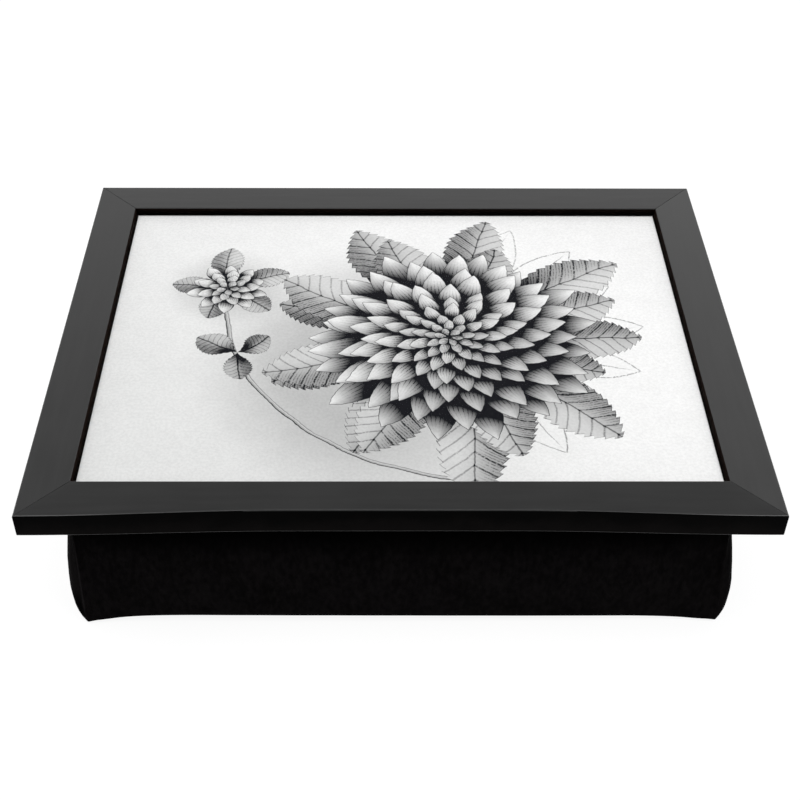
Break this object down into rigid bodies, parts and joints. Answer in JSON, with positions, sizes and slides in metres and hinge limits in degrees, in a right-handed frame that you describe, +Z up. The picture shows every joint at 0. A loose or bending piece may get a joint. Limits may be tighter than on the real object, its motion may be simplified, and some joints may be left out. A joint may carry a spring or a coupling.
{
  "type": "breakfast tray",
  "caption": "Lap tray: a mitred black frame round a printed, film-covered board, fixed by hook-and-loop strips on a soft bead-filled fabric cushion.",
  "frame": {"origin": "on the table, under the middle of the cushion", "axes": "+X along the tray's long side, +Y from the front long side to the back, +Z up"},
  "size_m": [0.44, 0.34, 0.115],
  "materials": {
    "frame_paint": "satin black paint on wood",
    "steel": "bare spring steel",
    "clear_film": "clear laminate",
    "print": "printed paper",
    "hardboard": "brown hardboard",
    "hook_tape": "black moulded hooks",
    "loop_tape": "black brushed loops",
    "cloth": "black woven cloth",
    "beads": null
  },
  "bodies": {
    "cushion_base": {"cushion_bottom": "cloth", "cushion_front": "cloth", "cushion_back": "cloth", "cushion_left": "cloth", "cushion_right": "cloth", "bead_filling": "beads"},
    "cushion_top": {"cushion_top": "cloth", "loop_strip_front": "loop_tape", "loop_strip_back": "loop_tape", "loop_strip_left": "loop_tape", "loop_strip_right": "loop_tape"},
    "tray": {"rail_front": "frame_paint", "rail_right": "frame_paint", "rail_back": "frame_paint", "rail_left": "frame_paint", "v_nail_front_left_1": "steel", "v_nail_front_left_2": "steel", "v_nail_front_right_1": "steel", "v_nail_front_right_2": "steel", "v_nail_back_right_1": "steel", "v_nail_back_right_2": "steel", "v_nail_back_left_1": "steel", "v_nail_back_left_2": "steel", "clear_film": "clear_film", "print_sheet": "print", "tray_board": "hardboard", "retaining_point_front_1": "steel", "retaining_point_front_2": "steel", "retaining_point_front_3": "steel", "retaining_point_right_1": "steel", "retaining_point_right_2": "steel", "retaining_point_back_1": "steel", "retaining_point_back_2": "steel", "retaining_point_back_3": "steel", "retaining_point_left_1": "steel", "retaining_point_left_2": "steel", "hook_strip_front": "hook_tape", "hook_strip_back": "hook_tape", "hook_strip_left": "hook_tape", "hook_strip_right": "hook_tape"}
  },
  "joints": [
    {"name": "cushion_give", "type": "slide", "parent": "cushion_base", "child": "cushion_top", "axis": [0, 0, 1], "range_m": [-0.02, 0], "stiffness_N_per_m": 1500, "springref_m": 0.006, "deforming": ["cushion_front", "cushion_back", "cushion_left", "cushion_right", "bead_filling"]},
    {"name": "tray_lift_off", "type": "slide", "parent": "cushion_top", "child": "tray", "axis": [0, 0, 1], "range_m": [0, 0.08]}
  ]
}
